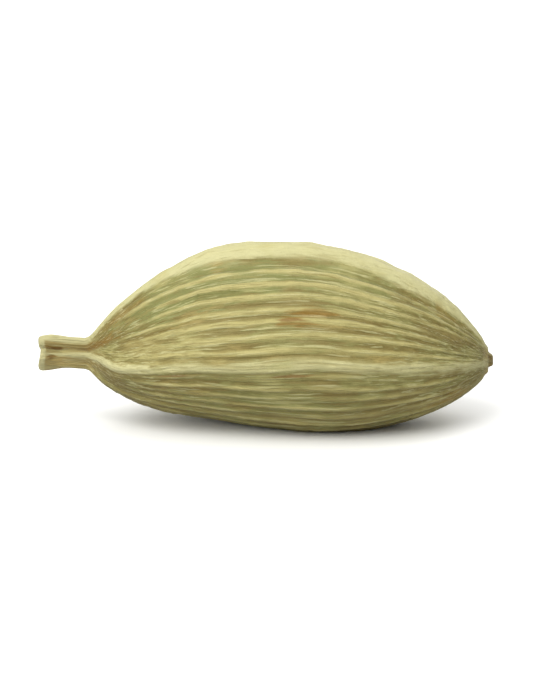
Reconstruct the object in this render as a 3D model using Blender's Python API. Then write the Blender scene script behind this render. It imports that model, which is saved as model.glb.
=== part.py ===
"""A whole green cardamom pod: a dried, three-sided, ribbed husk with its stalk stub and flower scar.

The pod lies on its side. +X runs along it from the stalk stub to the flower scar, +Z is up, and
the origin is on the surface that the pod lies on, under the middle of its box. Lengths are in
metres. Angles round the pod run from -Y, the front, over +Z, the top.
"""

import math
import random

import bmesh
import bpy
from mathutils import Vector

MM = 0.001

# Outline along the length
LENGTH = 18.9 * MM
HUSK_START = 1.9 * MM
HUSK_WIDEST = 11.1 * MM
HUSK_RADIUS = 3.73 * MM
STALK_SIDE_POWER = 0.62
SCAR_SIDE_POWERS = (1.9, 0.68)
NECK_RADIUS = 0.55 * MM
NECK_BLEND = 0.28 * MM
COLLAR_FLARE = 0.15 * MM
COLLAR_LENGTH = 1.4 * MM

# Bend of the centre line
STALK_DROP = 0.83 * MM
STUB_LIFT = 0.22 * MM
SCAR_DROP_SLOPE = 0.092
SIDE_BEND = 0.16 * MM

# Three-sided section: the main ridges stand at 4, 90 and -124 degrees
TRIGON = 0.045
TRIGON_AT_STALK = 0.05
RIDGE_ANGLE = math.radians(-10.0)
ANGLE_WARP = math.radians(20.53)
ANGLE_WARP_PHASE = math.radians(137.0)

# The front and top ridges lean towards each other on the stalk stub, and the front one sags past it
STUB_FRONT_TWIST = math.radians(11.0)
STUB_TOP_TWIST = math.radians(-18.0)
RIDGE_SAG = math.radians(7.0)

# Ribs from one main ridge to the next, over the front, down the back and along the underside. They are
# lower on the underside and beside the top ridge.
RIBS_PER_SIDE = (9, 13, 12)
RIBS = sum(RIBS_PER_SIDE)
STEPS_PER_RIB = 4
RIB_HEIGHT = 0.085 * MM
UNDER_SIDE_SHARE = 0.6
BESIDE_TOP_SHARE = 0.15
RIB_JITTER = math.radians(1.5)
RIB_SEED = 11
WANDER = math.radians(1.3)

# Main ridges at the front, on top and underneath, which start as cords on the stub. A fourth cord
# runs along the stub alone.
RIDGE_TURN = tuple(math.radians(degrees) for degrees in (0.0, 120.0, 240.0, 303.0))
CORD_HALF_WIDTH = 0.16 * MM
CORD_HEIGHT = (0.13 * MM, 0.17 * MM, 0.15 * MM, 0.12 * MM)
CORD_START = (0.8 * MM, -1.0 * MM, 0.3 * MM, 0.5 * MM)
RIDGE_HALF_WIDTH = (0.36 * MM, 0.66 * MM, 0.26 * MM, 0.15 * MM)
RIDGE_WIDENING_POWER = (0.5, 1.6, 0.5, 1.0)
RIDGE_HEIGHT = (0.14 * MM, 0.42 * MM, 0.14 * MM, 0.0)
GROOVE_DEPTH = (0.015 * MM, 0.12 * MM, 0.05 * MM, 0.0)

# Sunken place in the front of the stub, behind its collar
HOLLOW_DEPTH = 0.13 * MM
HOLLOW_PLACE = (0.66 * MM, math.radians(34.0))
HOLLOW_SIZE = (0.38 * MM, math.radians(60.0))

# Collar at the end of the stalk stub, a shallow cup with a rounded rim
RIM_RADIUS = 0.62 * MM
RIM_THICKNESS = 0.085 * MM
CUP_DEPTH = 0.34 * MM

# Scar at the flower end, a puckered ring round a dry nub
SCAR_RING_RADIUS = 0.54 * MM
SCAR_GROOVE_RADIUS = 0.34 * MM
NUB_RADIUS = 0.26 * MM
NUB_HEIGHT = 0.26 * MM
NUB_DENT = 0.05 * MM

# Small flat spot that the pod lies on
REST_CUT = 0.33 * MM
REST_ANGLE = math.radians(-100.0)

NECK_STATIONS = 7
HUSK_STATIONS = 23
HUSK_LAST_STATION = 18.4 * MM


def smoothstep(start, end, value):
    """Runs smoothly from 0 at start to 1 at end."""
    t = min(1.0, max(0.0, (value - start) / (end - start)))
    return t * t * (3.0 - 2.0 * t)


def husk_radius(x):
    """Mean radius of the husk alone: an ogee on the stalk side, a blunt cone on the scar side."""
    if x <= HUSK_START:
        return 0.0
    if x < HUSK_WIDEST:
        t = (x - HUSK_START) / (HUSK_WIDEST - HUSK_START)
        return HUSK_RADIUS * math.sin(0.5 * math.pi * t**STALK_SIDE_POWER)
    t = min(1.0, (x - HUSK_WIDEST) / (LENGTH - HUSK_WIDEST))
    inner, outer = SCAR_SIDE_POWERS
    return HUSK_RADIUS * (1.0 - t**inner) ** outer


def mean_radius(x):
    """Radius of the husk and the stalk stub, blended where they meet."""
    neck = NECK_RADIUS + COLLAR_FLARE * (1.0 - smoothstep(0.0, COLLAR_LENGTH, x))
    husk = husk_radius(x)
    if x > HUSK_WIDEST:
        return husk
    return 0.5 * (neck + husk + math.hypot(neck - husk, NECK_BLEND))


def centre_line(x):
    """Sideways and upward offset of the centre line, which arches and bends a little."""
    side = SIDE_BEND * math.sin(1.6 * math.pi * x / LENGTH)
    stalk = STALK_DROP * (1.0 - smoothstep(1.0 * MM, 8.0 * MM, x))
    stalk -= STUB_LIFT * (1.0 - smoothstep(0.8 * MM, 3.0 * MM, x))
    past = x - 9.5 * MM
    scar = SCAR_DROP_SLOPE * 0.5 * (math.hypot(past, 2.0 * MM) + past)
    return side, -stalk - scar


def section_angle(turn):
    """Angle round the pod of a turn in which the three main ridges are evenly spaced."""
    return turn + RIDGE_ANGLE + ANGLE_WARP * math.sin(turn + ANGLE_WARP_PHASE)


def twist(turn, x):
    """Turn of the front and top ridges about the pod's length at a station."""
    stub = 1.0 - smoothstep(1.8 * MM, 3.2 * MM, x)
    sag = RIDGE_SAG * (smoothstep(2.0 * MM, 3.4 * MM, x) - smoothstep(7.0 * MM, 12.0 * MM, x))
    front = (0.5 + 0.5 * math.cos(turn)) ** 2
    top = (0.5 + 0.5 * math.cos(turn - RIDGE_TURN[1])) ** 2
    return front * (STUB_FRONT_TWIST * stub - sag) + top * STUB_TOP_TWIST * stub


def make_ribs():
    """Turn, strength, extent and waviness of each rib. The main ridges stay in their places."""
    draw = random.Random(RIB_SEED)
    ribs = []
    places = [(side, place, count) for side, count in enumerate(RIBS_PER_SIDE) for place in range(count)]
    for side, place, count in places:
        main = place == 0
        jitter = 0.0 if main else draw.uniform(-RIB_JITTER, RIB_JITTER)
        share = UNDER_SIDE_SHARE if side == 2 else 1.0
        if (side, place) in ((0, count - 1), (1, 1)):
            share = BESIDE_TOP_SHARE
        ribs.append(
            {
                "main": main,
                "turn": 2.0 * math.pi * (side + place / count) / 3.0 + jitter,
                "strength": share * draw.uniform(0.65, 1.25),
                "start": draw.uniform(2.1, 3.8) * MM,
                "end": draw.uniform(17.0, 21.0) * MM,
                "phase": draw.uniform(0.0, 2.0 * math.pi),
                "wave": draw.uniform(3.5, 7.0) * MM,
            }
        )
    return ribs


def rest_fade(x, turn):
    """1 over most of the pod, falling where the husk is pressed smooth against the surface."""
    away = math.remainder(section_angle(turn) - REST_ANGLE, 2.0 * math.pi) / math.radians(30.0)
    along = (x - 11.5 * MM) / (5.0 * MM)
    return 1.0 - 0.92 * math.exp(-(away**4) - along**4)


def rib_height(rib, x):
    """Height of a rib's crest, which fades in past the stalk and out before the scar."""
    rise = smoothstep(rib["start"], rib["start"] + 2.2 * MM, x)
    fall = 1.0 - smoothstep(rib["end"] - 2.0 * MM, rib["end"], x)
    wave = 1.0 + 0.22 * math.sin(2.0 * math.pi * x / rib["wave"] + rib["phase"])
    crowding = min(1.0, mean_radius(x) / (2.6 * MM))
    return RIB_HEIGHT * rib["strength"] * rise * fall * wave * crowding


def rib_relief(ribs, index, phase, x):
    """Height of the ribs at a phase from 0 on one rib's crest to 1 on the next one's."""
    near = ribs[index if phase < 0.5 else (index + 1) % RIBS]
    if near["main"]:
        return 0.0
    crest = (0.5 + 0.5 * math.cos(2.0 * math.pi * phase)) ** 1.7
    return rib_height(near, x) * crest


def ridge_relief(turn, x):
    """Height of the main ridges, which run on as cords along the stalk stub."""
    radius = mean_radius(x)
    spread = smoothstep(2.0 * MM, 8.5 * MM, x) * min(1.0, radius / (2.8 * MM))
    height = 0.0
    for side, middle in enumerate(RIDGE_TURN):
        away = abs(math.remainder(turn - middle, 2.0 * math.pi)) * radius
        widening = spread ** RIDGE_WIDENING_POWER[side]
        half = CORD_HALF_WIDTH + (RIDGE_HALF_WIDTH[side] - CORD_HALF_WIDTH) * widening
        cord = CORD_HEIGHT[side] * smoothstep(CORD_START[side], CORD_START[side] + 0.7 * MM, x)
        rise = cord + (RIDGE_HEIGHT[side] - cord) * spread
        height += rise * math.exp(-((away / half) ** 3))
        groove = math.exp(-(((away - 1.7 * half) / (0.5 * half)) ** 2))
        height -= GROOVE_DEPTH[side] * groove * smoothstep(2.2 * MM, 4.0 * MM, x)
    return height * min(1.0, (LENGTH - x) / (1.5 * MM))


def stub_hollow(turn, x):
    """Depth of the sunken place in the front of the stub."""
    along = (x - HOLLOW_PLACE[0]) / HOLLOW_SIZE[0]
    across = math.remainder(turn - HOLLOW_PLACE[1], 2.0 * math.pi) / HOLLOW_SIZE[1]
    return HOLLOW_DEPTH * math.exp(-(along**4) - across**4)


def wander(turn, x):
    """Slow sideways drift of the ribs along the pod."""
    slow = math.sin(2.0 * math.pi * x / (13.0 * MM) + 2.0 * turn)
    quick = math.sin(2.0 * math.pi * x / (5.5 * MM) + 5.0 * turn + 1.0)
    return WANDER * (0.7 * slow + 0.3 * quick)


def ring_point(ribs, index, phase, x, radius, relief):
    """A point of the ring of the given mean radius at x. relief scales the ribs and ridges."""
    here = ribs[index]["turn"]
    after = ribs[(index + 1) % RIBS]["turn"] + (2.0 * math.pi if index + 1 == RIBS else 0.0)
    turn = here + (after - here) * phase
    side, up = centre_line(x)
    trigon = TRIGON + TRIGON_AT_STALK * (1.0 - smoothstep(2.0 * MM, 7.0 * MM, x))
    reach = radius * (1.0 + trigon * math.cos(3.0 * turn))
    raised = ridge_relief(turn, x) + rib_relief(ribs, index, phase, x) - stub_hollow(turn, x)
    reach += relief * rest_fade(x, turn) * raised
    angle = section_angle(turn + wander(turn, x)) + twist(turn, x)
    return Vector((x, side - reach * math.cos(angle), up + reach * math.sin(angle)))


def collar_rings():
    """Station, radius and relief of the rings from the bottom of the collar's cup to its rim."""
    inner = RIM_RADIUS - RIM_THICKNESS
    rings = [(CUP_DEPTH, 0.4 * inner, 0.0), (0.75 * CUP_DEPTH, 0.78 * inner, 0.0)]
    for step in range(4):
        angle = math.pi * step / 3.0
        x = RIM_THICKNESS * (1.0 - math.sin(angle))
        rings.append((x, RIM_RADIUS - RIM_THICKNESS * math.cos(angle), 0.25 * step / 3.0))
    return rings


def outline_rings():
    """Station, radius and relief of the rings along the stalk stub and the husk."""
    rings = []
    for step in range(NECK_STATIONS):
        x = 0.3 * MM + (HUSK_START - 0.3 * MM) * step / NECK_STATIONS
        rings.append((x, mean_radius(x), smoothstep(-0.2 * MM, 0.6 * MM, x)))
    for step in range(HUSK_STATIONS):
        t = step / (HUSK_STATIONS - 1)
        eased = t - 0.085 * math.sin(2.0 * math.pi * t)
        x = HUSK_START + 0.12 * MM + (HUSK_LAST_STATION - HUSK_START - 0.12 * MM) * eased
        rings.append((x, mean_radius(x), 1.0))
    return rings


def scar_rings():
    """Station, radius and relief of the puckered ring, its groove and the nub inside it."""
    ring_x = LENGTH - NUB_HEIGHT
    return [
        (ring_x, SCAR_RING_RADIUS, 0.5),
        (ring_x + 0.06 * MM, 0.5 * (SCAR_RING_RADIUS + SCAR_GROOVE_RADIUS), 0.4),
        (ring_x + 0.02 * MM, SCAR_GROOVE_RADIUS, 0.1),
        (ring_x + 0.5 * NUB_HEIGHT, NUB_RADIUS, 0.0),
        (LENGTH, 0.72 * NUB_RADIUS, 0.0),
    ]


def add_ring(bm, ribs, x, radius, relief):
    """Adds one ring of vertices round the pod."""
    ring = []
    for index in range(RIBS):
        for step in range(STEPS_PER_RIB):
            point = ring_point(ribs, index, step / STEPS_PER_RIB, x, radius, relief)
            ring.append(bm.verts.new(point))
    return ring


def join_rings(bm, before, after):
    """Joins two rings with quads."""
    for here in range(len(before)):
        ahead = (here + 1) % len(before)
        bm.faces.new((before[here], before[ahead], after[ahead], after[here]))


def close_ring(bm, ring, x):
    """Closes a ring with triangles that meet on the centre line at x."""
    side, up = centre_line(x)
    tip = bm.verts.new((x, side, up))
    for here in range(len(ring)):
        bm.faces.new((ring[here], ring[(here + 1) % len(ring)], tip))


def cut_rest_spot(bm):
    """Cuts the flat spot that the pod lies on, and sets it at z = 0."""
    level = min(vert.co.z for vert in bm.verts) + REST_CUT
    bmesh.ops.bisect_plane(
        bm,
        geom=bm.verts[:] + bm.edges[:] + bm.faces[:],
        dist=0.008 * MM,
        plane_co=(0.0, 0.0, level),
        plane_no=(0.0, 0.0, 1.0),
        use_snap_center=True,
        clear_inner=True,
    )
    edges = [edge for edge in bm.edges if edge.is_boundary]
    for vert in {vert for edge in edges for vert in edge.verts}:
        vert.co.z = level
    bmesh.ops.holes_fill(bm, edges=edges, sides=0)
    bmesh.ops.translate(bm, verts=bm.verts[:], vec=(0.0, 0.0, -level))


def centre_box(bm):
    """Moves the pod so that the middle of its box is over the origin."""
    for axis in (0, 1):
        values = [vert.co[axis] for vert in bm.verts]
        shift = Vector((0.0, 0.0, 0.0))
        shift[axis] = -0.5 * (min(values) + max(values))
        bmesh.ops.translate(bm, verts=bm.verts[:], vec=shift)


def linear(channel):
    """Linear value of an sRGB channel from 0 to 255."""
    value = channel / 255.0
    if value <= 0.04045:
        return value / 12.92
    return ((value + 0.055) / 1.055) ** 2.4


def husk_material():
    """Dry, pale green husk."""
    material = bpy.data.materials.new("dried_green_husk")
    material.use_nodes = True
    shader = material.node_tree.nodes["Principled BSDF"]
    red, green, blue = (linear(channel) for channel in (176, 167, 108))
    shader.inputs["Base Color"].default_value = (red, green, blue, 1.0)
    shader.inputs["Roughness"].default_value = 0.62
    shader.inputs["Metallic"].default_value = 0.0
    return material


def make_pod():
    """The pod, one closed solid."""
    ribs = make_ribs()
    bm = bmesh.new()
    rings = [add_ring(bm, ribs, *ring) for ring in collar_rings() + outline_rings() + scar_rings()]
    for before, after in zip(rings, rings[1:]):
        join_rings(bm, before, after)
    close_ring(bm, rings[0], CUP_DEPTH + 0.02 * MM)
    close_ring(bm, rings[-1], LENGTH - NUB_DENT)
    bmesh.ops.recalc_face_normals(bm, faces=bm.faces[:])
    cut_rest_spot(bm)
    bmesh.ops.recalc_face_normals(bm, faces=bm.faces[:])
    centre_box(bm)
    mesh = bpy.data.meshes.new("cardamom_pod")
    bm.to_mesh(mesh)
    bm.free()
    mesh.shade_smooth()
    mesh.set_sharp_from_angle(angle=math.radians(60.0))
    pod = bpy.data.objects.new("cardamom_pod", mesh)
    pod.data.materials.append(husk_material())
    bpy.context.scene.collection.objects.link(pod)


def main():
    """Replaces whatever is in the scene with the pod."""
    for thing in list(bpy.data.objects):
        bpy.data.objects.remove(thing, do_unlink=True)
    make_pod()


main()
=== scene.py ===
"""A whole green cardamom pod lying on a pale surface under soft studio light.

One fine mesh replaces the pod's plain solid. It follows the same outline, main ridges and ribs, and
adds what a dried husk has at a smaller scale: fibres, cross wrinkles, dents and a ragged collar.
Lengths are in metres. Stations run along the pod from the stub's end, and turns run round it from the
front ridge over the top one.
"""

from __future__ import annotations

import logging
import math
import random
from dataclasses import dataclass, field
from enum import Enum

import bpy
import numpy as np
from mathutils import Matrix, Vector, noise


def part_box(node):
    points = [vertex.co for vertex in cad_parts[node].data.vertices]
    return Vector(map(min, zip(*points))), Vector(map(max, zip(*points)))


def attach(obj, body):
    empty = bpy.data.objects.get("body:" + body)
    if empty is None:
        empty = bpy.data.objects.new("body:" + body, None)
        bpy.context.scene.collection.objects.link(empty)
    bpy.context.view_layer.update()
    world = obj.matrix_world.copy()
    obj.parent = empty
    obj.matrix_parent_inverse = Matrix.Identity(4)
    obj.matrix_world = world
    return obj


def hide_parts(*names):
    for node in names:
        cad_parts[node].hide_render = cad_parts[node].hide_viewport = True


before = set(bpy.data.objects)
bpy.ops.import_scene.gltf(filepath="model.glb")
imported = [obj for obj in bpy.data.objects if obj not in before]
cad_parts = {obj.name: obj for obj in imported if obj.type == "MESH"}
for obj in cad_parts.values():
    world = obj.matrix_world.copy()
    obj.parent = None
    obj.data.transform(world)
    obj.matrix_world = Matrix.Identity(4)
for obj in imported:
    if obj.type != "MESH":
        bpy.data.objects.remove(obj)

log = logging.getLogger("cardamom_pod")

MM = 0.001
FULL_TURN = 2.0 * math.pi


class Ridge(Enum):
    """The three main ridges, and a cord that runs along the stub alone."""

    FRONT = 0
    TOP = 1
    UNDER = 2
    STUB_CORD = 3


class Mask(Enum):
    """What the skin tells the material of each point. The value is the attribute's name."""

    RIB = "rib"
    TAN = "tan"
    KEEL = "keel"
    # Greener husk, and painted shade that darkens the upper facet and the underside.
    LEAF_AND_SHADE = "leaf_and_shade"
    PALE = "pale"
    STAIN = "stain"
    # Rust-brown streaks, and a painted shadow line under the front ridge.
    RUST_AND_SHADE = "rust_and_shade"
    PITH = "pith"


class Pattern(Enum):
    """Streaks in the material: how many to a millimetre along the pod and round it, and their detail.

    Fibre bundles are about 0.25 mm apart and single fibres 0.13 mm, and both run for some millimetres.
    Cross wrinkles are about 0.4 mm apart. Patches of greener and of drier husk are about 2 mm across.
    """

    BUNDLES = (0.35, 4.2, 4.0)
    FIBRES = (0.4, 7.5, 3.0)
    WRINKLES = (2.6, 1.5, 3.0)
    PATCHES = (0.35, 0.6, 3.0)


def smoothstep(start: float, end: float, value: np.ndarray) -> np.ndarray:
    """Runs smoothly from 0 at start to 1 at end.

    Args:
        start: Value that gives 0.
        end: Value that gives 1.
        value: Values to map.

    Returns:
        The mapped values, from 0 to 1.
    """
    t = np.clip((value - start) / (end - start), 0.0, 1.0)
    return t * t * (3.0 - 2.0 * t)


def wrapped(angle: np.ndarray) -> np.ndarray:
    """Angles brought into the half turn either side of zero."""
    return (angle + math.pi) % FULL_TURN - math.pi


def linear_rgb(colour: str) -> tuple[float, float, float, float]:
    """Turns an sRGB colour to linear.

    Args:
        colour: Hex value such as "#aca266".

    Returns:
        The linear colour, with full alpha.
    """
    channels = []
    for start in (1, 3, 5):
        value = int(colour[start : start + 2], 16) / 255.0
        channels.append(value / 12.92 if value <= 0.04045 else ((value + 0.055) / 1.055) ** 2.4)
    return channels[0], channels[1], channels[2], 1.0


def add_node(
    tree: bpy.types.NodeTree,
    kind: str,
    settings: dict[str, object] | None = None,
    inputs: dict[str | int, object] | None = None,
) -> bpy.types.Node:
    """Adds a node with its settings and links.

    Args:
        tree: Node tree of the material.
        kind: Blender's name for the node.
        settings: Properties of the node.
        inputs: For each input, a socket to link or a value to set.

    Returns:
        The new node.
    """
    node = tree.nodes.new(kind)
    for name, value in (settings or {}).items():
        setattr(node, name, value)
    for name, value in (inputs or {}).items():
        if isinstance(value, bpy.types.NodeSocket):
            tree.links.new(value, node.inputs[name])
        else:
            node.inputs[name].default_value = value
    return node


@dataclass(frozen=True)
class Unevenness:
    """Smooth random values over the husk: how many to a millimetre, their shift and their layers."""

    per_mm: tuple[float, float, float]
    shift: tuple[float, float, float]
    octaves: int

    def values(self, grain: np.ndarray) -> np.ndarray:
        """Values that are the same each run.

        Args:
            grain: Coordinates in millimetres, along the pod and round it.

        Returns:
            Values of about -1 to 1, one for each point.
        """
        points = (grain * self.per_mm + self.shift).reshape(-1, 3).tolist()
        values = [noise.fractal(point, 1.0, 2.0, self.octaves) for point in points]
        return np.array(values).reshape(grain.shape[:-1])


@dataclass(frozen=True)
class Outline:
    """Outline, bend and three-sided section of the pod. A span is a pair of stations."""

    length: float = 18.9 * MM
    husk_start: float = 1.9 * MM
    widest: float = 11.1 * MM
    radius: float = 3.73 * MM
    stalk_side_power: float = 0.62
    scar_side_powers: tuple[float, float] = (1.9, 0.68)
    neck_radius: float = 0.55 * MM
    neck_blend: float = 0.28 * MM
    collar_flare: float = 0.15 * MM
    collar_length: float = 1.4 * MM
    stalk_drop: float = 0.83 * MM
    stalk_drop_span: tuple[float, float] = (1.0 * MM, 8.0 * MM)
    stub_lift: float = 0.22 * MM
    stub_lift_span: tuple[float, float] = (0.8 * MM, 3.0 * MM)
    scar_drop_slope: float = 0.092
    scar_drop_start: float = 9.5 * MM
    scar_drop_easing: float = 2.0 * MM
    side_bend: float = 0.16 * MM
    side_bend_turn: float = 1.6 * math.pi
    trigon: float = 0.045
    trigon_at_stalk: float = 0.05
    trigon_at_stalk_span: tuple[float, float] = (2.0 * MM, 7.0 * MM)
    ridge_angle: float = math.radians(-10.0)
    angle_warp: float = math.radians(20.53)
    angle_warp_phase: float = math.radians(137.0)
    stub_front_twist: float = math.radians(11.0)
    stub_top_twist: float = math.radians(-18.0)
    stub_twist_span: tuple[float, float] = (1.8 * MM, 3.2 * MM)
    ridge_sag: float = math.radians(7.0)
    ridge_sag_from: tuple[float, float] = (2.0 * MM, 3.4 * MM)
    ridge_sag_to: tuple[float, float] = (7.0 * MM, 12.0 * MM)

    def mean_radius(self, x: np.ndarray) -> np.ndarray:
        """Mean radius of the husk and the stalk stub, blended where they meet.

        Args:
            x: Stations.

        Returns:
            The radius at each station.
        """
        rise = np.clip((x - self.husk_start) / (self.widest - self.husk_start), 0.0, 1.0)
        before = self.radius * np.sin(0.5 * math.pi * rise**self.stalk_side_power)
        fall = np.clip((x - self.widest) / (self.length - self.widest), 0.0, 1.0)
        inner, outer = self.scar_side_powers
        after = self.radius * (1.0 - fall**inner) ** outer
        neck = self.neck_radius + self.collar_flare * (1.0 - smoothstep(0.0, self.collar_length, x))
        blended = 0.5 * (neck + before + np.hypot(neck - before, self.neck_blend))
        return np.where(x > self.widest, after, blended)

    def centre_line(self, x: np.ndarray) -> tuple[np.ndarray, np.ndarray]:
        """Bend of the centre line.

        Args:
            x: Stations.

        Returns:
            Its sideways and its upward offset at each station.
        """
        side = self.side_bend * np.sin(self.side_bend_turn * x / self.length)
        stalk = self.stalk_drop * (1.0 - smoothstep(*self.stalk_drop_span, x))
        stalk = stalk - self.stub_lift * (1.0 - smoothstep(*self.stub_lift_span, x))
        past = x - self.scar_drop_start
        scar = self.scar_drop_slope * 0.5 * (np.hypot(past, self.scar_drop_easing) + past)
        return side, -stalk - scar

    def section_angle(self, turn: np.ndarray) -> np.ndarray:
        """Angle round the pod of a turn in which the three main ridges are evenly spaced."""
        return turn + self.ridge_angle + self.angle_warp * np.sin(turn + self.angle_warp_phase)

    def twist(self, turn: np.ndarray, x: np.ndarray) -> np.ndarray:
        """Twist of the front and top ridges, which lean together on the stub. Then the front one sags.

        Args:
            turn: Turns of the points.
            x: Stations of the points.

        Returns:
            The angle to add at each point.
        """
        stub = 1.0 - smoothstep(*self.stub_twist_span, x)
        sag = smoothstep(*self.ridge_sag_from, x) - smoothstep(*self.ridge_sag_to, x)
        front = (0.5 + 0.5 * np.cos(turn)) ** 2
        top = (0.5 + 0.5 * np.cos(turn - FULL_TURN / 3.0)) ** 2
        front_twist = self.stub_front_twist * stub - self.ridge_sag * sag
        return front * front_twist + top * self.stub_top_twist * stub

    def reach(self, radius: np.ndarray, turn: np.ndarray, x: np.ndarray) -> np.ndarray:
        """Distance of the bare three-sided section from the centre line."""
        at_stalk = 1.0 - smoothstep(*self.trigon_at_stalk_span, x)
        return radius * (1.0 + (self.trigon + self.trigon_at_stalk * at_stalk) * np.cos(3.0 * turn))


@dataclass(frozen=True)
class MainRidge:
    """A main ridge: its size at the husk's widest part, the groove beside it and its cord on the stub."""

    turn_deg: float
    half_width: float
    widening_power: float
    height: float
    groove_depth: float
    cord_height: float
    cord_start: float
    paleness: float


@dataclass
class Ribbing:
    """The fine ribs and the three main ridges of the husk.

    A pair of lengths in metres is a span of stations, and one in millimetres holds the least and the most
    that a rib draws. The groove beside a ridge is placed and sized in the ridge's own half widths.
    """

    outline: Outline
    per_side: tuple[int, int, int] = (9, 13, 12)
    height: float = 0.085 * MM
    crest_power: float = 1.7
    under_side_share: float = 0.6
    beside_top_share: float = 0.15
    jitter: float = math.radians(1.5)
    seed: int = 11
    strengths: tuple[float, float] = (0.65, 1.25)
    starts_mm: tuple[float, float] = (2.1, 3.8)
    ends_mm: tuple[float, float] = (17.0, 21.0)
    waves_mm: tuple[float, float] = (3.5, 7.0)
    rib_rise: float = 2.2 * MM
    rib_fall: float = 2.0 * MM
    rib_wave: float = 0.22
    crowding_radius: float = 2.6 * MM
    wander: float = math.radians(1.3)
    slow_wander: float = 13.0 * MM
    quick_wander: float = 5.5 * MM
    cord_half_width: float = 0.16 * MM
    cord_rise: float = 0.7 * MM
    ridge_spread: tuple[float, float] = (2.0 * MM, 8.5 * MM)
    ridge_full_radius: float = 2.8 * MM
    ridge_ending: float = 1.5 * MM
    groove_place: float = 1.7
    groove_half_width: float = 0.5
    groove_span: tuple[float, float] = (2.2 * MM, 4.0 * MM)
    rest_angle: float = math.radians(-100.0)
    rest_half_angle: float = math.radians(30.0)
    rest_station: float = 11.5 * MM
    rest_half_length: float = 5.0 * MM
    rest_smoothing: float = 0.92
    ridges: dict[Ridge, MainRidge] = field(
        default_factory=lambda: {
            Ridge.FRONT: MainRidge(0.0, 0.36 * MM, 0.5, 0.14 * MM, 0.015 * MM, 0.13 * MM, 0.8 * MM, 0.28),
            Ridge.TOP: MainRidge(120.0, 0.66 * MM, 1.6, 0.42 * MM, 0.12 * MM, 0.17 * MM, -1.0 * MM, 1.0),
            Ridge.UNDER: MainRidge(240.0, 0.26 * MM, 0.5, 0.14 * MM, 0.05 * MM, 0.15 * MM, 0.3 * MM, 0.3),
            Ridge.STUB_CORD: MainRidge(303.0, 0.15 * MM, 1.0, 0.0, 0.0, 0.12 * MM, 0.5 * MM, 0.0),
        }
    )
    main: np.ndarray = field(init=False)
    turn: np.ndarray = field(init=False)
    strength: np.ndarray = field(init=False)
    start: np.ndarray = field(init=False)
    end: np.ndarray = field(init=False)
    phase: np.ndarray = field(init=False)
    wave: np.ndarray = field(init=False)

    def __post_init__(self) -> None:
        """Draws each rib's place, strength, extent and wave. The main ridges stay in their places."""
        draw = random.Random(self.seed)
        rows = []
        places = [
            (side, place, count) for side, count in enumerate(self.per_side) for place in range(count)
        ]
        for side, place, count in places:
            main = place == 0
            jitter = 0.0 if main else draw.uniform(-self.jitter, self.jitter)
            share = self.under_side_share if side == 2 else 1.0
            if (side, place) in ((0, count - 1), (1, 1)):
                share = self.beside_top_share
            rows.append(
                (
                    main,
                    FULL_TURN * (side + place / count) / 3.0 + jitter,
                    share * draw.uniform(*self.strengths),
                    draw.uniform(*self.starts_mm) * MM,
                    draw.uniform(*self.ends_mm) * MM,
                    draw.uniform(0.0, FULL_TURN),
                    draw.uniform(*self.waves_mm) * MM,
                )
            )
        table = np.array(rows, dtype=float)
        self.main, self.turn, self.strength, self.start, self.end, self.phase, self.wave = table.T

    def columns(self, steps: int) -> tuple[np.ndarray, np.ndarray, np.ndarray]:
        """Lines along the pod, a fixed number to each rib, from the ridge underneath round to itself.

        Args:
            steps: Number of lines from one rib's crest to the next one's.

        Returns:
            For each line, the nearest rib, the phase from that rib's crest and the turn.
        """
        count = len(self.turn)
        first = self.per_side[0] + self.per_side[1]
        place = np.arange(count * steps + 1) / steps + first
        index = np.floor(place + 1e-9).astype(int)
        phase = place - index
        unrolled = np.concatenate([self.turn, self.turn + FULL_TURN, self.turn[:1] + 2.0 * FULL_TURN])
        turn = unrolled[index] + (unrolled[index + 1] - unrolled[index]) * phase
        nearest = np.where(phase < 0.5, index, index + 1) % count
        return nearest, phase, turn

    def rest_fade(self, x: np.ndarray, turn: np.ndarray) -> np.ndarray:
        """How far the relief is kept where the husk is pressed smooth against the surface.

        Args:
            x: Stations of the points.
            turn: Turns of the points.

        Returns:
            1 over most of the pod, less in the pressed place.
        """
        away = wrapped(self.outline.section_angle(turn) - self.rest_angle) / self.rest_half_angle
        along = (x - self.rest_station) / self.rest_half_length
        return 1.0 - self.rest_smoothing * np.exp(-(away**4) - along**4)

    def rib_height(self, rib: np.ndarray, x: np.ndarray) -> np.ndarray:
        """Height of the ribs' crests, which fade in past the stalk and out before the scar.

        Args:
            rib: Nearest rib of each point.
            x: Stations of the points.

        Returns:
            The height at each point, 0 on a main ridge.
        """
        rise = smoothstep(0.0, self.rib_rise, x - self.start[rib])
        fall = 1.0 - smoothstep(-self.rib_fall, 0.0, x - self.end[rib])
        wave = 1.0 + self.rib_wave * np.sin(FULL_TURN * x / self.wave[rib] + self.phase[rib])
        crowding = np.minimum(1.0, self.outline.mean_radius(x) / self.crowding_radius)
        height = self.height * self.strength[rib] * rise * fall * wave * crowding
        return np.where(self.main[rib] > 0.5, 0.0, height)

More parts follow.
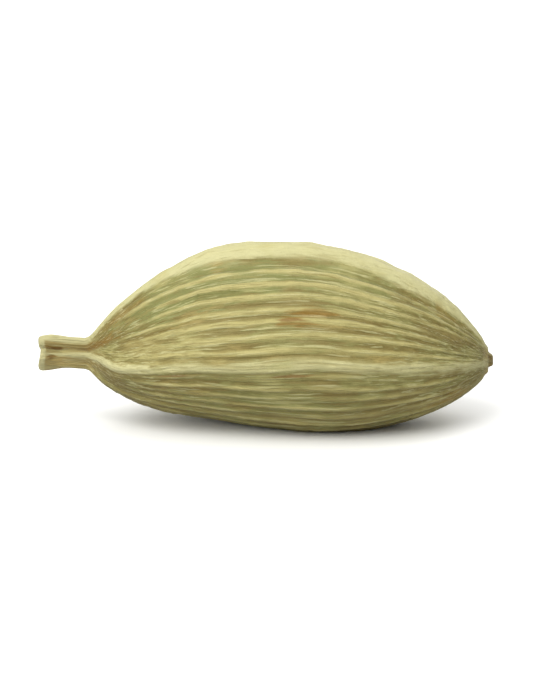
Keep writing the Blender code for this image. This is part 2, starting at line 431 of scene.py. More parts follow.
    def ridge_profile(self, ridge: Ridge, turn: np.ndarray, x: np.ndarray) -> tuple[np.ndarray, np.ndarray]:
        """Shape of one main ridge, which runs on as a cord along the stalk stub.

        Args:
            ridge: The ridge.
            turn: Turns of the points.
            x: Stations of the points.

        Returns:
            The ridge's crest from 0 to 1, and its height in metres with the groove beside it.
        """
        size = self.ridges[ridge]
        radius = self.outline.mean_radius(x)
        spread = smoothstep(*self.ridge_spread, x) * np.minimum(1.0, radius / self.ridge_full_radius)
        away = np.abs(wrapped(turn - math.radians(size.turn_deg))) * radius
        half = self.cord_half_width + (size.half_width - self.cord_half_width) * spread**size.widening_power
        cord = size.cord_height * smoothstep(0.0, self.cord_rise, x - size.cord_start)
        rise = cord + (size.height - cord) * spread
        crest = np.exp(-((away / half) ** 3))
        beside = (away - self.groove_place * half) / (self.groove_half_width * half)
        groove = np.exp(-(beside**2)) * smoothstep(*self.groove_span, x)
        ending = np.clip((self.outline.length - x) / self.ridge_ending, 0.0, 1.0)
        return crest, (rise * crest - size.groove_depth * groove) * ending

    def drift(self, turn: np.ndarray, x: np.ndarray) -> np.ndarray:
        """Slow sideways drift of the ribs along the pod.

        Args:
            turn: Turns of the points.
            x: Stations of the points.

        Returns:
            The turn to add at each point.
        """
        slow = np.sin(FULL_TURN * x / self.slow_wander + 2.0 * turn)
        quick = np.sin(FULL_TURN * x / self.quick_wander + 5.0 * turn + 1.0)
        return self.wander * (0.7 * slow + 0.3 * quick)


@dataclass(frozen=True)
class StalkStub:
    """The stub's end: a collar round a shallow dry cup, and a sunken place behind it in the stub's front."""

    rim_radius: float = 0.62 * MM
    rim_thickness: float = 0.085 * MM
    rim_steps: int = 8
    cup_depth: float = 0.34 * MM
    cup_centre_sink: float = 0.02 * MM
    cup_floor_radius: float = 0.14 * MM
    cup_floor_power: float = 0.8
    cup_wall_power: float = 2.4
    hollow_depth: float = 0.13 * MM
    hollow_x: float = 0.66 * MM
    hollow_turn: float = math.radians(34.0)
    hollow_half_length: float = 0.38 * MM
    hollow_half_turn: float = math.radians(60.0)

    def hollow(self, turn: np.ndarray, x: np.ndarray) -> np.ndarray:
        """Depth of the sunken place.

        Args:
            turn: Turns of the points.
            x: Stations of the points.

        Returns:
            The depth as a share of the deepest.
        """
        along = (x - self.hollow_x) / self.hollow_half_length
        across = wrapped(turn - self.hollow_turn) / self.hollow_half_turn
        return np.exp(-(along**4) - across**4)

    def rings(self) -> list[tuple[float, float, float]]:
        """Rings from the bottom of the cup over the rim.

        Returns:
            Station, radius and share of the relief of each ring.
        """
        inner = self.rim_radius - self.rim_thickness
        rings = [(self.cup_depth + self.cup_centre_sink, 0.0, 0.0)]
        for step in range(self.rim_steps):
            t = step / (self.rim_steps - 1.0)
            growth = math.sin(0.5 * math.pi * t) ** self.cup_floor_power
            x = self.cup_depth - (self.cup_depth - self.rim_thickness) * t**self.cup_wall_power
            rings.append((x, self.cup_floor_radius + (inner - self.cup_floor_radius) * growth, 0.1 * t))
        for step in range(1, self.rim_steps + 1):
            angle = math.pi * step / self.rim_steps
            x = self.rim_thickness * (1.0 - math.sin(angle))
            radius = self.rim_radius - self.rim_thickness * math.cos(angle)
            rings.append((x, radius, 0.1 + 0.15 * step / self.rim_steps))
        return rings


@dataclass(frozen=True)
class FlowerScar:
    """The blossom end: a puckered ring round a dry nub."""

    ring_radius: float = 0.54 * MM
    groove_radius: float = 0.34 * MM
    nub_radius: float = 0.26 * MM
    nub_height: float = 0.26 * MM
    nub_dent: float = 0.05 * MM
    steps: int = 30

    def rings(self, length: float) -> list[tuple[float, float, float]]:
        """Rings from the husk's last one to the tip.

        Args:
            length: Length of the pod.

        Returns:
            Station, radius and share of the relief of each ring.
        """
        ring_x = length - self.nub_height
        # Over the puckered ring, down into the groove, and up the nub to its dented tip.
        key = [
            (ring_x - 0.08 * MM, self.ring_radius + 0.09 * MM, 0.8),
            (ring_x, self.ring_radius, 0.5),
            (ring_x + 0.06 * MM, 0.5 * (self.ring_radius + self.groove_radius), 0.4),
            (ring_x + 0.02 * MM, self.groove_radius, 0.3),
            (ring_x + 0.07 * MM, self.nub_radius + 0.03 * MM, 0.3),
            (ring_x + 0.5 * self.nub_height, 0.95 * self.nub_radius, 0.4),
            (length - 0.04 * MM, 0.78 * self.nub_radius, 0.4),
            (length, 0.56 * self.nub_radius, 0.3),
            (length - 0.6 * self.nub_dent, 0.3 * self.nub_radius, 0.2),
        ]
        at = np.arange(len(key))
        fine = np.linspace(0.0, len(key) - 1.0, self.steps)
        columns = [np.interp(fine, at, column) for column in zip(*key)]
        return list(zip(*columns)) + [(length - self.nub_dent, 0.0, 0.0)]


@dataclass(frozen=True)
class Blemish:
    """A mark on the husk, placed by its distance along the pod and its turn round it."""

    mask: Mask
    along_mm: float
    turn_deg: float
    length_mm: float
    width_mm: float
    strength: float


@dataclass(frozen=True)
class Coat:
    """A colour laid where a mask or a pattern passes from its start to its full value.

    Streaks shift that value to break up the coat's edge, and most is the coat's share where it is full.
    """

    colour: str
    place: Mask | Pattern
    start: float
    full: float
    edge: Pattern
    ragged: float
    most: float = 1.0


@dataclass(frozen=True)
class DriedHusk:
    """Dried cardamom husk: thin, papery and fibrous.

    It is matt with a faint silky gleam on the ribs, straw on what stands proud, olive in the hollows, which
    are darkened further as painted shade, and stained brown where it was bruised or tore from its stalk.
    """

    rib: str = "#a89e64"
    # Olive of the valleys, darker as painted shade between the ribs; also the colour of dark fibres.
    flank: str = "#8b814a"
    groove: str = "#6f612c"
    # Olive green of greener husk patches, also laid as painted shade on the upper facet and the underside.
    leaf_and_shade: str = "#757a42"
    straw: str = "#9d8b4e"
    keel: str = "#bdb887"
    stain: str = "#826320"
    # Reddish brown of rust streaks, also a painted shadow line under the front ridge.
    rust_and_shade: str = "#74501f"
    pith: str = "#74561d"
    tan: str = "#a8935a"
    rough: float = 0.72
    silky: float = 0.54
    fibre_depth: float = 0.09 * MM
    bundle_share: float = 0.8
    wrinkle_share: float = 0.6

    def coats(self) -> tuple[Coat, ...]:
        """The colours laid over the grooves' colour.

        Returns:
            The coats, from the first to the last.
        """
        bundles, fibres, patches = Pattern.BUNDLES, Pattern.FIBRES, Pattern.PATCHES
        return (
            # Paler crests over the groove colour: partly the husk's tone, partly painted shade in the
            # valleys.
            Coat(self.flank, Mask.RIB, 0.02, 0.42, bundles, 0.7),
            Coat(self.leaf_and_shade, patches, 0.45, 0.62, fibres, 0.5, 0.6),
            # Painted shade in a greener tone on the upper facet under the top ridge and on the underside.
            Coat(self.leaf_and_shade, Mask.LEAF_AND_SHADE, 0.1, 0.9, bundles, 0.8, 0.7),
            Coat(self.straw, patches, 0.42, 0.28, fibres, 0.5, 0.6),
            Coat(self.rib, Mask.PALE, 0.1, 0.9, fibres, 0.9, 0.8),
            Coat(self.rib, Mask.RIB, 0.32, 0.85, bundles, 0.45, 0.95),
            Coat(self.tan, Mask.TAN, 0.1, 0.9, fibres, 1.2, 0.7),
            Coat(self.groove, fibres, 0.45, 0.34, bundles, 0.3, 0.5),
            Coat(self.keel, Mask.KEEL, 0.04, 0.42, bundles, 0.5, 0.85),
            Coat(self.flank, fibres, 0.45, 0.34, bundles, 0.3, 0.4),
            Coat(self.rib, patches, 0.5, 0.7, fibres, 0.6, 0.55),
            Coat(self.stain, Mask.STAIN, 0.1, 1.0, fibres, 1.3, 0.85),
            # Rust streaks, and a painted shadow line under the front ridge.
            Coat(self.rust_and_shade, Mask.RUST_AND_SHADE, 0.2, 0.9, fibres, 0.9, 0.7),
            Coat(self.keel, fibres, 0.55, 0.66, bundles, 0.3, 0.45),
            Coat(self.pith, Mask.PITH, 0.1, 0.9, fibres, 0.4, 0.95),
        )

    def material(self) -> bpy.types.Material:
        """Builds the material, whose patterns read the husk's own attributes in millimetres.

        Returns:
            The material.
        """
        material = bpy.data.materials.new("dried_green_husk")
        material.use_nodes = True
        tree = material.node_tree
        tree.nodes.clear()
        grain = add_node(tree, "ShaderNodeAttribute", {"attribute_name": "grain"}).outputs["Vector"]
        values = {
            mask: add_node(tree, "ShaderNodeAttribute", {"attribute_name": mask.value}).outputs["Fac"]
            for mask in Mask
        }
        for pattern in Pattern:
            values[pattern] = self.streaks(tree, grain, pattern)
        colour = self.groove
        for coat in self.coats():
            colour = self.lay(tree, values, coat, colour)
        lump = add_node(
            tree,
            "ShaderNodeMath",
            {"operation": "MULTIPLY_ADD"},
            {0: values[Pattern.BUNDLES], 1: self.bundle_share, 2: values[Pattern.FIBRES]},
        )
        height = add_node(
            tree,
            "ShaderNodeMath",
            {"operation": "MULTIPLY_ADD"},
            {0: values[Pattern.WRINKLES], 1: self.wrinkle_share, 2: lump.outputs[0]},
        )
        bump = add_node(
            tree,
            "ShaderNodeBump",
            inputs={"Strength": 1.0, "Distance": self.fibre_depth, "Height": height.outputs[0]},
        )
        rough = add_node(
            tree,
            "ShaderNodeMapRange",
            inputs={
                "Value": values[Pattern.BUNDLES],
                "From Min": 0.3,
                "From Max": 0.7,
                "To Min": self.rough,
                "To Max": self.silky,
            },
        )
        shader = add_node(
            tree,
            "ShaderNodeBsdfPrincipled",
            inputs={
                "Base Color": colour,
                "Roughness": rough.outputs["Result"],
                "Normal": bump.outputs["Normal"],
                "IOR": 1.46,
                "Specular IOR Level": 0.42,
                "Sheen Weight": 0.03,
                "Sheen Roughness": 0.5,
            },
        )
        add_node(tree, "ShaderNodeOutputMaterial", inputs={"Surface": shader.outputs["BSDF"]})
        return material

    def streaks(
        self, tree: bpy.types.NodeTree, grain: bpy.types.NodeSocket, pattern: Pattern
    ) -> bpy.types.NodeSocket:
        """Adds uneven streaks along the grain.

        Args:
            tree: Node tree of the material.
            grain: Coordinates in millimetres, along the pod and round it.
            pattern: The streaks' spacing and detail.

        Returns:
            Socket with values about 0.5.
        """
        along, around, detail = pattern.value
        scale = (along, around, around)
        place = add_node(tree, "ShaderNodeMapping", inputs={"Vector": grain, "Scale": scale})
        streaks = add_node(
            tree,
            "ShaderNodeTexNoise",
            inputs={"Vector": place.outputs["Vector"], "Scale": 1.0, "Detail": detail, "Roughness": 0.6},
        )
        return streaks.outputs["Fac"]

    def lay(
        self,
        tree: bpy.types.NodeTree,
        values: dict[Mask | Pattern, bpy.types.NodeSocket],
        coat: Coat,
        under: str | bpy.types.NodeSocket,
    ) -> bpy.types.NodeSocket:
        """Lays one coat over the colours before it.

        Args:
            tree: Node tree of the material.
            values: Sockets of the masks and the patterns.
            coat: The coat.
            under: Colour so far, as a hex value or a socket.

        Returns:
            Socket with the new colour.
        """
        shift = add_node(
            tree,
            "ShaderNodeMath",
            {"operation": "MULTIPLY_ADD"},
            {0: values[coat.edge], 1: coat.ragged, 2: -0.5 * coat.ragged},
        )
        edge = add_node(
            tree, "ShaderNodeMath", {"operation": "ADD"}, {0: values[coat.place], 1: shift.outputs[0]}
        )
        share = add_node(
            tree,
            "ShaderNodeMapRange",
            {"interpolation_type": "SMOOTHSTEP"},
            {
                "Value": edge.outputs[0],
                "From Min": coat.start,
                "From Max": coat.full,
                "To Min": 0.0,
                "To Max": coat.most,
            },
        )
        lower = linear_rgb(under) if isinstance(under, str) else under
        mix = add_node(
            tree,
            "ShaderNodeMix",
            {"data_type": "RGBA"},
            {0: share.outputs["Result"], 6: lower, 7: linear_rgb(coat.colour)},
        )
        return mix.outputs[2]


@dataclass(frozen=True)
class Sheet:
    """The flat sheet that is rolled round the pod: a row to each ring and a column to each line along it."""

    x: np.ndarray
    radius: np.ndarray
    relief: np.ndarray
    nearest: np.ndarray
    phase: np.ndarray
    turn: np.ndarray
    grain: np.ndarray


@dataclass(frozen=True)
class DriedRelief:
    """What drying adds to the ribs: fibres, cross wrinkles and dents, and uneven rims at both ends.

    Fibres stand about 0.2 mm apart and cross wrinkles 0.4 mm. The ribs swell and shrink about every
    0.9 mm, and the soft dents are some 3 mm apart.
    """

    breaks: Unevenness = Unevenness((1.1, 1.6, 1.6), (0.0, 0.0, 0.0), 2)
    fibres: Unevenness = Unevenness((0.45, 4.6, 4.6), (7.0, 0.0, 3.0), 3)
    wrinkles: Unevenness = Unevenness((2.3, 1.0, 1.0), (0.0, 9.0, 0.0), 3)
    dents: Unevenness = Unevenness((0.28, 0.33, 0.33), (3.0, 1.0, 5.0), 2)
    collar: Unevenness = Unevenness((0.4, 1.1, 1.1), (0.0, 0.0, 0.0), 2)
    scar: Unevenness = Unevenness((1.5, 1.6, 1.6), (0.0, 2.0, 6.0), 2)
    fibre_height: float = 0.03 * MM
    wrinkle_height: float = 0.022 * MM
    dent_depth: float = 0.06 * MM
    collar_height: float = 0.04 * MM
    collar_tilt: float = 0.05 * MM
    collar_span: tuple[float, float] = (0.05 * MM, 0.6 * MM)
    collar_radius: float = 0.5 * MM
    scar_height: float = 0.07 * MM
    scar_span: tuple[float, float] = (18.5 * MM, 18.75 * MM)
    scar_radius: float = 0.2 * MM
    stub_calm: tuple[float, float] = (1.6 * MM, 5.0 * MM)
    scar_calm: tuple[float, float] = (17.0 * MM, 18.6 * MM)

    def vigour(self, x: np.ndarray) -> np.ndarray:
        """Strength of the relief, 1 over the husk and less towards both ends."""
        return smoothstep(*self.stub_calm, x) * (1.0 - 0.6 * smoothstep(*self.scar_calm, x))

    def fine(self, sheet: Sheet, keel: np.ndarray) -> np.ndarray:
        """Height of the fibres, wrinkles and dents. The pale ridges are smoother than the rest.

        Args:
            sheet: The sheet's rings and lines.
            keel: How much of a pale ridge each point is.

        Returns:
            The height at each point.
        """
        vigour = self.vigour(sheet.x)
        fibres = self.fibres.values(sheet.grain)
        wrinkles = 1.0 - 2.0 * np.abs(self.wrinkles.values(sheet.grain))
        height = self.fibre_height * fibres * (0.5 + 0.5 * vigour)
        height = height + self.wrinkle_height * wrinkles * (0.25 + 0.75 * vigour)
        return height * (1.0 - 0.4 * keel) + self.dent_depth * self.dents.values(sheet.grain) * vigour

    def collar_share(self, sheet: Sheet) -> np.ndarray:
        """How much of the collar's unevenness each ring takes."""
        inwards = np.minimum(1.0, sheet.radius / self.collar_radius)
        return (1.0 - smoothstep(*self.collar_span, sheet.x)) * inwards

    def ends(self, sheet: Sheet) -> np.ndarray:
        """Height of the crumpled scar and the ragged collar.

        Args:
            sheet: The sheet's rings and lines.

        Returns:
            The height at each point.
        """
        inwards = np.minimum(1.0, sheet.radius / self.scar_radius)
        scar = smoothstep(*self.scar_span, sheet.x) * inwards * self.scar_height
        scar = scar * self.scar.values(sheet.grain)
        return scar + self.collar_share(sheet) * self.collar_height * self.collar.values(sheet.grain)


@dataclass
class CardamomPod:
    """The pod: stalk stub, ribbed husk and flower scar in one closed skin. A pair of lengths is a span."""

    outline: Outline = field(default_factory=Outline)
    stub: StalkStub = field(default_factory=StalkStub)
    scar: FlowerScar = field(default_factory=FlowerScar)
    dried: DriedRelief = field(default_factory=DriedRelief)
    finish: DriedHusk = field(default_factory=DriedHusk)
    steps_per_rib: int = 12
    neck_stations: int = 26
    neck_first_station: float = 0.16 * MM
    husk_stations: int = 160
    husk_last_station: float = 18.45 * MM
    end_crowding: float = 0.085
    relief_rise: tuple[float, float] = (-0.2 * MM, 0.6 * MM)
    rest_cut: float = 0.33 * MM
    grain_radius_mm: float = 3.7
    grain_power: float = 0.4
    full_rib: float = 0.09 * MM
    pale_rim: tuple[float, float] = (0.12 * MM, 0.3 * MM)
    tan_stub: tuple[float, float] = (1.2 * MM, 3.4 * MM)
    tan_scar: tuple[float, float] = (18.3 * MM, 18.7 * MM)
    cup_pith: tuple[float, float] = (0.02 * MM, 0.2 * MM)
    scar_pith: tuple[float, float] = (18.45 * MM, 18.75 * MM)
    scar_pith_radii: tuple[float, float] = (0.15 * MM, 0.5 * MM)
    # A mark's edge has lobes about 0.5 mm wide, and runs out along fibres 0.14 mm apart.
    mark_edge: Unevenness = Unevenness((0.9, 2.2, 2.2), (1.0, 4.0, 2.0), 3)
    mark_fibres: Unevenness = Unevenness((1.2, 7.0, 7.0), (5.0, 3.0, 8.0), 2)
    blemishes: tuple[Blemish, ...] = (
        Blemish(Mask.PALE, 5.0, 20.0, 6.5, 2.6, 0.6),
        Blemish(Mask.KEEL, 3.4, 0.0, 4.4, 0.5, 0.6),
        # Greener, darker husk on the upper facet and the underside: partly its own tone, partly painted
        # shade.
        Blemish(Mask.LEAF_AND_SHADE, 7.2, 86.0, 10.5, 3.6, 0.9),
        Blemish(Mask.LEAF_AND_SHADE, 12.4, 96.0, 6.0, 2.0, 0.7),
        Blemish(Mask.LEAF_AND_SHADE, 8.8, 322.0, 9.0, 2.4, 0.6),
        Blemish(Mask.STAIN, 11.3, 50.0, 2.4, 0.9, 1.0),
        Blemish(Mask.STAIN, 10.6, 41.5, 2.2, 1.0, 1.0),
        Blemish(Mask.RUST_AND_SHADE, 10.5, 42.0, 2.0, 0.4, 0.85),
        Blemish(Mask.STAIN, 2.5, 66.0, 2.2, 0.9, 0.9),
        Blemish(Mask.STAIN, 3.6, 100.0, 2.4, 0.7, 0.6),
        Blemish(Mask.STAIN, 0.4, 66.0, 0.5, 0.5, 0.9),
        Blemish(Mask.PITH, 0.75, 64.0, 0.6, 0.5, 0.95),
        Blemish(Mask.PITH, 0.5, -12.0, 0.4, 0.45, 0.7),
        Blemish(Mask.PITH, 0.9, 182.0, 0.7, 0.4, 0.7),
        # Reddish-brown lines under the front ridge, made darker as a painted shadow below the ridge.
        Blemish(Mask.RUST_AND_SHADE, 5.9, -8.5, 1.9, 0.2, 0.7),
        Blemish(Mask.RUST_AND_SHADE, 10.7, -8.5, 3.0, 0.22, 0.8),
        Blemish(Mask.STAIN, 5.6, 172.0, 2.6, 1.1, 0.6),
        Blemish(Mask.STAIN, 13.6, 205.0, 3.0, 0.8, 0.75),
        Blemish(Mask.STAIN, 8.4, 318.0, 2.2, 0.9, 0.5),
        Blemish(Mask.RUST_AND_SHADE, 14.9, 152.0, 1.6, 0.22, 0.8),
        Blemish(Mask.STAIN, 16.9, 96.0, 2.0, 0.8, 0.55),
        Blemish(Mask.STAIN, 17.2, 300.0, 2.0, 1.0, 0.6),
    )

    def stations(self) -> np.ndarray:
        """All rings, closer together towards both ends.

        Returns:
            Station, radius and share of the relief of each ring, in three columns.
        """
        rings = self.stub.rings()
        start = self.outline.husk_start
        neck = np.linspace(self.neck_first_station, start, self.neck_stations, endpoint=False)
        t = np.linspace(0.0, 1.0, self.husk_stations)
        husk = start + (self.husk_last_station - start) * (t - self.end_crowding * np.sin(FULL_TURN * t))
        for x in np.concatenate([neck, husk]):
            relief = smoothstep(*self.relief_rise, x)
            rings.append((x, float(self.outline.mean_radius(x)), float(relief)))
        rings += self.scar.rings(self.outline.length)
        return np.array(rings)

    def sheet(self, ribbing: Ribbing) -> Sheet:
        """Rings and lines of the sheet, and its coordinates along the fibres.

        Args:
            ribbing: Ribs and main ridges.

        Returns:
            The sheet.
        """
        nearest, phase, turn = ribbing.columns(self.steps_per_rib)
        x, radius, relief = (column[:, None] for column in self.stations().T)
        turns = np.broadcast_to(turn, (len(x), len(turn)))
        # Fibres run together towards the pod's ends, so their coordinates narrow less than the pod does.
        narrowing = (np.maximum(radius, 0.1 * MM) / self.outline.radius) ** self.grain_power
        around = self.grain_radius_mm * narrowing
        grain = np.broadcast_arrays(x / MM, around * np.cos(turns), around * np.sin(turns))
        return Sheet(x, radius, relief, nearest, phase, turns, np.stack(grain, axis=-1))

    def build(self) -> bpy.types.Object:
        """Rolls a flat sheet round the pod's form and welds it shut.

        Returns:
            The pod, placed as its solid is.
        """
        ribbing = Ribbing(self.outline)
        sheet = self.sheet(ribbing)
        points, masks = self.skin(ribbing, sheet)
        points = self.set_down(points)
        points[:, -1] = points[:, 0]
        last_row, last_column = (size - 1 for size in sheet.turn.shape)

        bpy.ops.object.select_all(action="DESELECT")
        bpy.ops.mesh.primitive_grid_add(
            x_subdivisions=last_row, y_subdivisions=last_column, size=1.0, calc_uvs=True
        )
        pod = bpy.context.object
        pod.name = pod.data.name = "pod_husk"
        mesh = pod.data
        flat = np.empty(len(mesh.vertices) * 3, np.float32)
        mesh.vertices.foreach_get("co", flat)
        flat = flat.reshape(-1, 3)
        row = np.rint((flat[:, 0] + 0.5) * last_row).astype(int)
        column = np.rint((flat[:, 1] + 0.5) * last_column).astype(int)
        mesh.vertices.foreach_set("co", points[row, column].astype(np.float32).ravel())
        for mask, values in masks.items():
            layer = mesh.attributes.new(mask.value, "FLOAT", "POINT")
            layer.data.foreach_set("value", values[row, column].astype(np.float32))
        layer = mesh.attributes.new("grain", "FLOAT_VECTOR", "POINT")
        layer.data.foreach_set("vector", sheet.grain[row, column].astype(np.float32).ravel())
        mesh.update()

        bpy.ops.object.mode_set(mode="EDIT")
        bpy.ops.mesh.select_all(action="SELECT")
        bpy.ops.mesh.remove_doubles(threshold=0.000001)
        bpy.ops.mesh.normals_make_consistent(inside=False)
        bpy.ops.mesh.select_all(action="DESELECT")
        bpy.ops.object.mode_set(mode="OBJECT")
        bpy.ops.object.shade_smooth()
        return pod

    def skin(self, ribbing: Ribbing, sheet: Sheet) -> tuple[np.ndarray, dict[Mask, np.ndarray]]:
        """Points of the skin before it is set down, and what the material reads there.

        Args:
            ribbing: Ribs and main ridges.
            sheet: The sheet's rings and lines.

        Returns:
            The points, and the masks.
        """
        outline = self.outline
        x, turn = sheet.x, sheet.turn
        breaks = self.dried.breaks.values(sheet.grain)
        crest = (0.5 + 0.5 * np.cos(FULL_TURN * sheet.phase)) ** (ribbing.crest_power + 0.5 * breaks)
        rib_rise = ribbing.rib_height(np.broadcast_to(sheet.nearest, turn.shape), x)
        rib_rise = rib_rise * np.clip(1.0 + 0.5 * breaks, 0.4, 1.6)
        raised = rib_rise * crest
        keel = np.zeros(turn.shape)
        beside = np.zeros(turn.shape)
        for ridge, size in ribbing.ridges.items():
            profile, height = ribbing.ridge_profile(ridge, turn, x)
            raised = raised + height * (1.0 + 0.12 * breaks)
            keel = np.maximum(keel, profile * size.paleness)
            beside = np.maximum(beside, profile**0.3)
        raised = raised - self.stub.hollow_depth * self.stub.hollow(turn, x)
        raised = raised + self.dried.fine(sheet, keel)
        reach = outline.reach(sheet.radius, turn, x)
        reach = reach + sheet.relief * ribbing.rest_fade(x, turn) * raised + self.dried.ends(sheet)

        angle = outline.section_angle(turn + ribbing.drift(turn, x)) + outline.twist(turn, x)
        angle = angle + math.radians(0.35) * breaks * self.dried.vigour(x)
        side, up = outline.centre_line(x)
        tilt = self.dried.collar_share(sheet) * self.dried.collar_tilt * np.sin(turn * 2.0 + 0.7)
        place = np.broadcast_arrays(x + tilt, side - reach * np.cos(angle), up + reach * np.sin(angle))

        masks = self.marks(sheet)
        # Low in the valleys, where the groove colour stays as painted shade.
        rib = np.clip(rib_rise / self.full_rib, 0.0, 1.0) * crest + 0.12
        masks[Mask.RIB] = np.maximum(rib, 0.4 * beside)
        masks[Mask.TAN] = 1.0 - smoothstep(*self.tan_stub, x) + 0.8 * smoothstep(*self.tan_scar, x)
        # Stains settle between the ribs and hardly show on their crests.
        masks[Mask.STAIN] = masks[Mask.STAIN] * np.clip(1.35 - 0.9 * masks[Mask.RIB], 0.0, 1.0)
        rim = 0.8 * (1.0 - smoothstep(*self.pale_rim, x))
        masks[Mask.KEEL] = np.maximum(np.maximum(keel, rim), masks[Mask.KEEL])
        masks[Mask.PITH] = np.maximum(masks[Mask.PITH], self.dry_pith(x, sheet.radius))
        masks = {mask: np.broadcast_to(values, turn.shape) for mask, values in masks.items()}
        return np.stack(place, axis=-1), masks

    def dry_pith(self, x: np.ndarray, radius: np.ndarray) -> np.ndarray:
        """Dry brown tissue in the collar's cup and in the flower's scar.

        Args:
            x: Station of each ring.
            radius: Mean radius of each ring.

        Returns:
            How brown each ring is, from 0 to 1.
        """
        stub = self.stub
        inside = (x < stub.cup_depth + 0.03 * MM) & (radius < stub.rim_radius - 0.6 * stub.rim_thickness)
        cup = np.where(inside, smoothstep(*self.cup_pith, x), 0.0)
        nub = smoothstep(*self.scar_pith, x) * (1.0 - smoothstep(*self.scar_pith_radii, radius)) * 0.6
        return np.clip(cup + nub, 0.0, 1.0)

    def marks(self, sheet: Sheet) -> dict[Mask, np.ndarray]:
        """Strength of the blemishes all over the skin.

        Args:
            sheet: The sheet's rings and lines.

        Returns:
            For each mask, values from 0 to 1.
        """
        radius = self.outline.mean_radius(sheet.x)
        edge = 0.45 * self.mark_edge.values(sheet.grain)
        edge = edge + 0.5 * self.mark_fibres.values(sheet.grain)
        masks = {mask: np.zeros(sheet.turn.shape) for mask in Mask}
        for blemish in self.blemishes:
            along = (sheet.x / MM - blemish.along_mm) / (0.5 * blemish.length_mm)
            away = wrapped(sheet.turn - math.radians(blemish.turn_deg))
            across = away * radius / MM / (0.5 * blemish.width_mm)
            far = np.hypot(along, across) + edge
            strength = blemish.strength * (1.0 - smoothstep(0.35, 1.25, far))
            masks[blemish.mask] = np.maximum(masks[blemish.mask], strength)
        return masks

    def set_down(self, points: np.ndarray) -> np.ndarray:
        """Centres the pod over the origin and rests it on its flat spot at z = 0.

        Args:
            points: Points of the skin.

        Returns:
            The points in the frame's place.
        """
        low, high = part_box("cardamom_pod")
        placed = points.copy()
        placed[..., 0] += high.x - self.outline.length
        placed[..., 1] += 0.5 * (low.y + high.y) - 0.5 * (points[..., 1].min() + points[..., 1].max())
        placed[..., 2] = np.maximum(points[..., 2] - points[..., 2].min() - self.rest_cut, 0.0)
        return placed

    def dress(self, pod: bpy.types.Object) -> None:
        """Gives the pod its material and its place in the frame.

        Args:
            pod: The built pod.
        """
        pod.data.materials.clear()
        pod.data.materials.append(self.finish.material())
        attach(pod, "root")
        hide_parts("cardamom_pod")


@dataclass(frozen=True)
class SoftLamp:
    """A square soft lamp that shines at the pod."""

    name: str
    place: tuple[float, float, float]
    size: float
    power: float

    def make(self, target: Vector) -> None:
        """Adds the lamp.

        Args:
            target: Point that the lamp shines at.
        """
        light = bpy.data.lights.new(self.name, "AREA")
        light.shape = "SQUARE"
        light.size = self.size
        light.energy = self.power
        lamp = bpy.data.objects.new(self.name, light)
        lamp.location = self.place
        lamp.rotation_euler = (target - Vector(self.place)).to_track_quat("-Z", "Y").to_euler()
        bpy.context.scene.collection.objects.link(lamp)


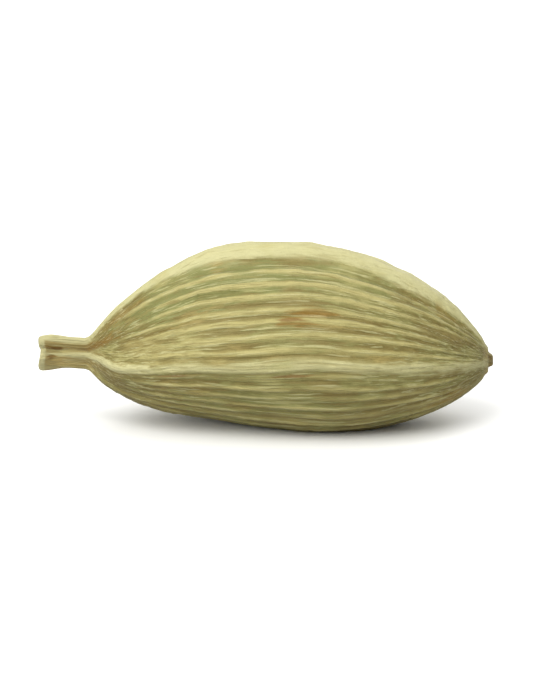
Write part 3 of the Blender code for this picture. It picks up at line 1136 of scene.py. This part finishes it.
@dataclass
class Studio:
    """Pale floor, soft lamps and the camera, which gives the view a set width at the pod."""

    camera_distance: float = 0.43
    camera_elevation: float = math.radians(16.5)
    aim: Vector = field(default_factory=lambda: Vector((0.0, 0.0, 3.6 * MM)))
    view_width: float = 22.2 * MM
    sensor_mm: float = 36.0
    frame_shape: float = 533.0 / 684.0
    floor_size: float = 4.0
    floor_gap: float = 0.01 * MM
    floor_seen: str = "#fafaf8"
    floor_bounce: str = "#cdcdcb"
    surroundings: str = "#fbfcff"
    surroundings_strength: float = 0.22
    lamps: tuple[SoftLamp, ...] = (
        SoftLamp("overhead_softbox", (0.0, -0.08, 0.5), 0.8, 3.0),
        SoftLamp("front_softbox", (-0.26, -0.34, 0.38), 0.5, 3.6),
        SoftLamp("rear_softbox", (0.2, 0.42, 0.26), 0.5, 1.3),
    )

    def make_floor(self) -> None:
        """Lays a matt white board under the pod, which the camera sees lighter than it reflects."""
        bpy.ops.object.select_all(action="DESELECT")
        bpy.ops.mesh.primitive_plane_add(size=self.floor_size, location=(0.0, 0.0, -self.floor_gap))
        floor = bpy.context.object
        floor.name = "floor"
        material = bpy.data.materials.new("matt_white_board")
        material.use_nodes = True
        tree = material.node_tree
        shader = tree.nodes["Principled BSDF"]
        shader.inputs["Roughness"].default_value = 0.7
        seen = add_node(tree, "ShaderNodeLightPath").outputs["Is Camera Ray"]
        mix = add_node(
            tree,
            "ShaderNodeMix",
            {"data_type": "RGBA"},
            {0: seen, 6: linear_rgb(self.floor_bounce), 7: linear_rgb(self.floor_seen)},
        )
        tree.links.new(mix.outputs[2], shader.inputs["Base Color"])
        floor.data.materials.append(material)

    def make_lights(self) -> None:
        """Adds the lamps and the pale surroundings."""
        for lamp in self.lamps:
            lamp.make(self.aim)
        world = bpy.data.worlds.new("pale_surroundings")
        world.use_nodes = True
        background = world.node_tree.nodes["Background"]
        background.inputs["Color"].default_value = linear_rgb(self.surroundings)
        background.inputs["Strength"].default_value = self.surroundings_strength
        bpy.context.scene.world = world
        bpy.context.scene.view_settings.view_transform = "Standard"

    def make_camera(self) -> None:
        """Places the camera at the photograph's elevation. The pod fills the frame's width."""
        data = bpy.data.cameras.new("camera")
        data.sensor_width = self.sensor_mm
        data.lens = self.sensor_mm * self.frame_shape * self.camera_distance / self.view_width
        data.clip_start = 0.01
        camera = bpy.data.objects.new("camera", data)
        back = Vector((0.0, -math.cos(self.camera_elevation), math.sin(self.camera_elevation)))
        camera.location = self.aim + self.camera_distance * back
        camera.rotation_euler = (-back).to_track_quat("-Z", "Y").to_euler()
        bpy.context.scene.collection.objects.link(camera)
        bpy.context.scene.camera = camera


def main() -> None:
    """Builds the pod and its studio."""
    logging.basicConfig(level=logging.INFO, format="%(name)s: %(message)s")
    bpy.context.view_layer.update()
    pod = CardamomPod()
    husk = pod.build()
    pod.dress(husk)
    log.info("%s: %d vertices, %d faces", husk.name, len(husk.data.vertices), len(husk.data.polygons))
    studio = Studio()
    studio.make_floor()
    studio.make_lights()
    studio.make_camera()
    log.info("floor, %d lamps and camera", len(studio.lamps))
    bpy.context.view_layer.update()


if __name__ == "__main__":
    main()
